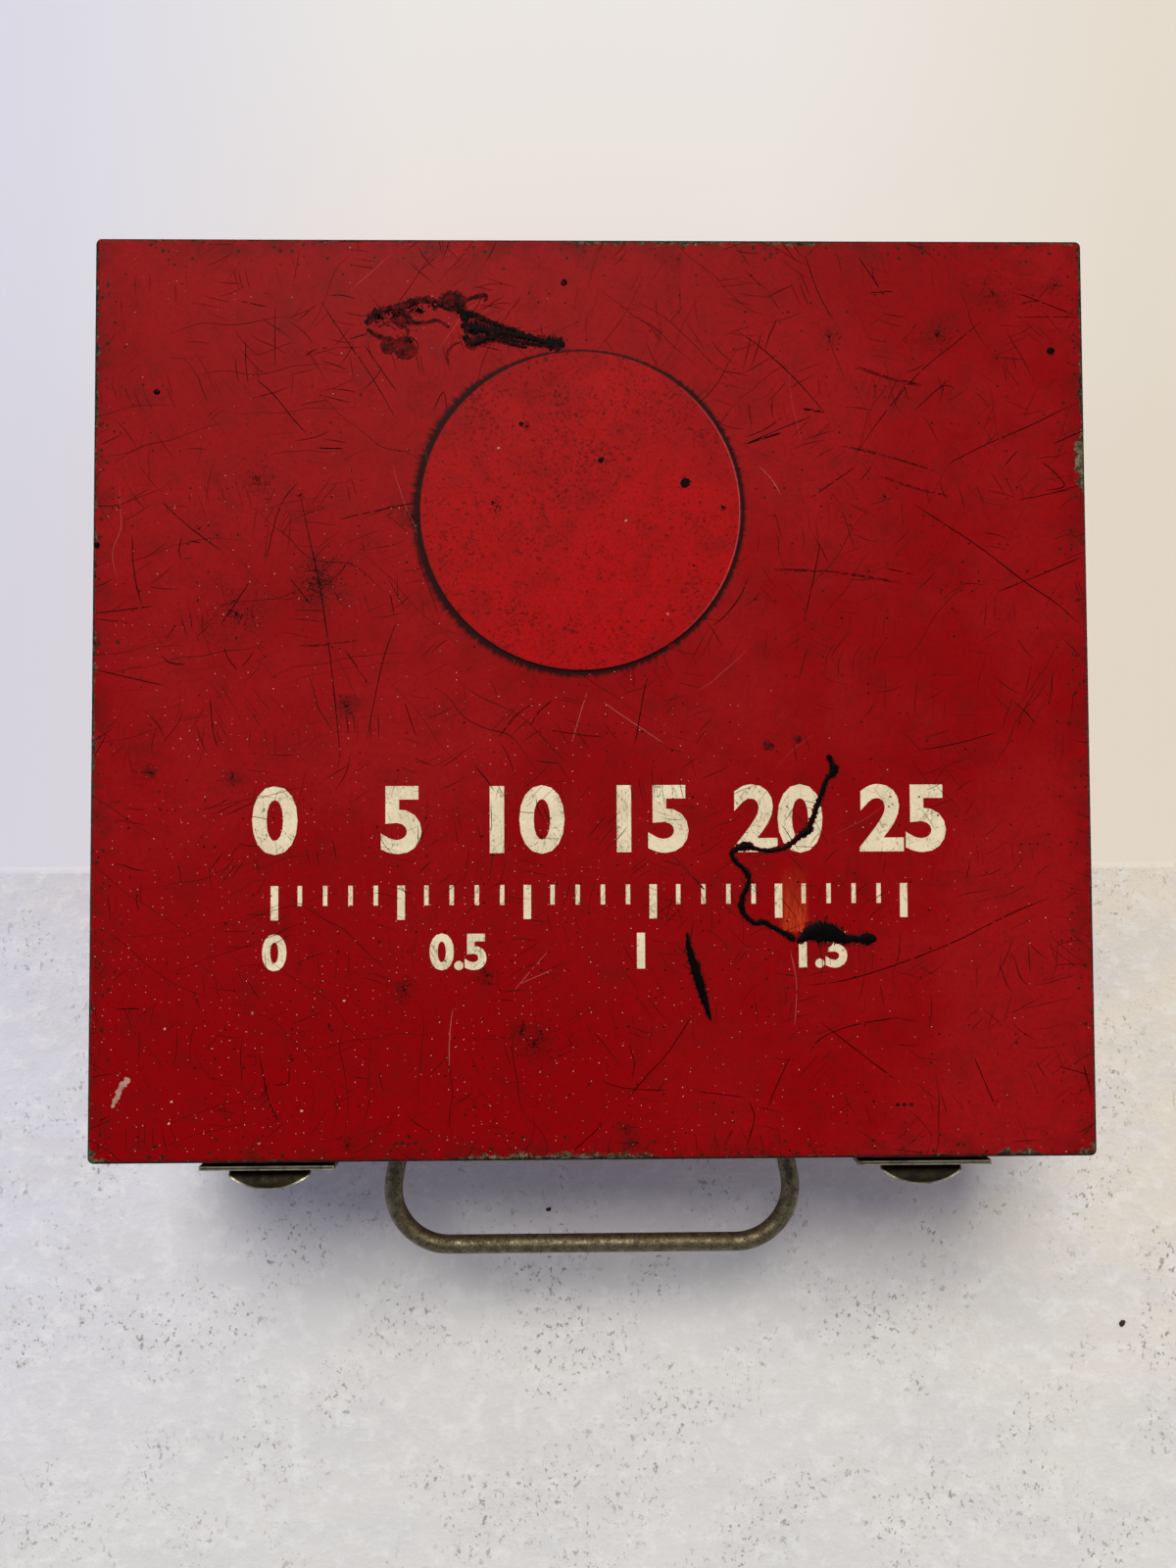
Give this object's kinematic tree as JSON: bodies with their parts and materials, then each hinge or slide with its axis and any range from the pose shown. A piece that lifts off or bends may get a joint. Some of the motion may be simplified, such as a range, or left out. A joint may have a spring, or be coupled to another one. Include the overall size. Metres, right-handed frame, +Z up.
{
  "type": "radiator pressure tester",
  "caption": "Hand pump, dial gauge, hose and test head for pressure testing cooling systems, held in a flat folded steel case with latches and a wire handle.",
  "frame": {"origin": "middle of the case's underside, lying on its back", "axes": "+X to the right facing the latches' side, +Y from the latch wall to the hinge wall, +Z up through the lid"},
  "size_m": [0.254, 0.2737, 0.0908],
  "materials": {
    "case_enamel": "old red enamel, scratched",
    "disc_enamel": "brighter red enamel",
    "latch_plate": "worn zinc plate",
    "handle_zinc": "aged zinc wire",
    "rivet_steel": "plated",
    "hinge_steel": "plated",
    "nickel_plate": "dull nickel plate",
    "cast_alloy": "cast, satin",
    "brass": "satin",
    "spring_steel": "bright",
    "clip_steel": "zinc plate",
    "gauge_black": "black enamel",
    "dial_white": "matt white",
    "needle_black": "matt black",
    "lens_glass": "clear",
    "hose_rubber": "black, matt",
    "seal_rubber": "black, matt",
    "cup_leather": "oiled",
    "grip_black": "black, worn gloss",
    "button_red": "red"
  },
  "bodies": {
    "base": {"case_base": "case_enamel", "rim_strip": "case_enamel", "hinge_base_leaf": "hinge_steel", "hinge_pin": "hinge_steel", "latch_leaves": "latch_plate", "leaf_rivets": "rivet_steel", "latch_pins": "latch_plate", "handle_clips": "latch_plate", "handle_rivets": "rivet_steel", "pump_barrel": "nickel_plate", "pump_end_cap": "nickel_plate", "rod_bush": "brass", "barrel_gasket": "seal_rubber", "manifold_body": "cast_alloy", "end_plug": "brass", "valve_spring": "spring_steel", "relief_body": "brass", "relief_spring": "spring_steel", "gauge_stem": "brass", "gauge_case": "gauge_black", "gauge_bezel": "nickel_plate", "gauge_lens": "lens_glass", "gauge_dial": "dial_white", "gauge_spindle": "brass", "bourdon_tube": "brass", "hose": "hose_rubber", "pump_nipple": "brass", "hose_ferrules": "brass", "head_stem": "brass", "head_seal_plate": "clip_steel", "head_seal": "seal_rubber", "head_spring": "spring_steel", "adapter_body": "nickel_plate", "adapter_gasket": "seal_rubber", "pump_clips": "clip_steel", "hose_clips": "clip_steel", "head_cradle": "clip_steel", "adapter_cup": "clip_steel"},
    "lid": {"case_lid": "case_enamel", "lid_disc": "disc_enamel", "hinge_lid_leaf": "hinge_steel", "latch_keepers": "latch_plate", "keeper_rivets": "rivet_steel"},
    "left_hasp": {"hasp_left": "latch_plate"},
    "right_hasp": {"hasp_right": "latch_plate"},
    "handle": {"handle_wire": "handle_zinc"},
    "plunger": {"plunger_rod": "nickel_plate", "plunger_grip": "grip_black", "grip_nut": "nickel_plate", "piston_plate": "clip_steel", "piston_cup": "cup_leather", "piston_nut": "brass"},
    "needle": {"gauge_needle": "needle_black"},
    "relief": {"relief_button": "button_red"},
    "check_valve": {"valve_disc": "seal_rubber"},
    "test_head": {"head_shell": "cast_alloy"}
  },
  "joints": [
    {"name": "lid_hinge", "type": "hinge", "parent": "base", "child": "lid", "pos_m": [0, 0.1145, 0.0662], "axis": [-1, 0, 0], "range_deg": [0, 102]},
    {"name": "left_hasp_hinge", "type": "hinge", "parent": "base", "child": "left_hasp", "pos_m": [-0.0835, -0.1205, 0.046], "axis": [1, 0, 0], "range_deg": [0, 165]},
    {"name": "right_hasp_hinge", "type": "hinge", "parent": "base", "child": "right_hasp", "pos_m": [0.0845, -0.1205, 0.046], "axis": [1, 0, 0], "range_deg": [0, 165]},
    {"name": "handle_swing", "type": "hinge", "parent": "base", "child": "handle", "pos_m": [0, -0.1221, 0.045], "axis": [1, 0, 0], "range_deg": [-90, 90]},
    {"name": "pump_stroke", "type": "slide", "parent": "base", "child": "plunger", "axis": [1, 0, 0], "range_m": [0, 0.058]},
    {"name": "gauge_sweep", "type": "hinge", "parent": "base", "child": "needle", "pos_m": [-0.086, -0.062, 0.0727], "axis": [0, 0, -1], "range_deg": [0, 270]},
    {"name": "relief_press", "type": "slide", "parent": "base", "child": "relief", "axis": [0, 1, 0], "range_m": [0, 0.0025], "stiffness_N_per_m": 500, "springref_m": -0.004, "deforming": ["relief_spring"]},
    {"name": "check_valve_lift", "type": "slide", "parent": "base", "child": "check_valve", "axis": [-1, 0, 0], "range_m": [0, 0.002], "stiffness_N_per_m": 120, "springref_m": -0.004, "deforming": ["valve_spring"]},
    {"name": "head_swivel", "type": "hinge", "parent": "base", "child": "test_head", "pos_m": [-0.03, 0.022, 0.0299], "axis": [1, 0, 0], "continuous": true}
  ]
}
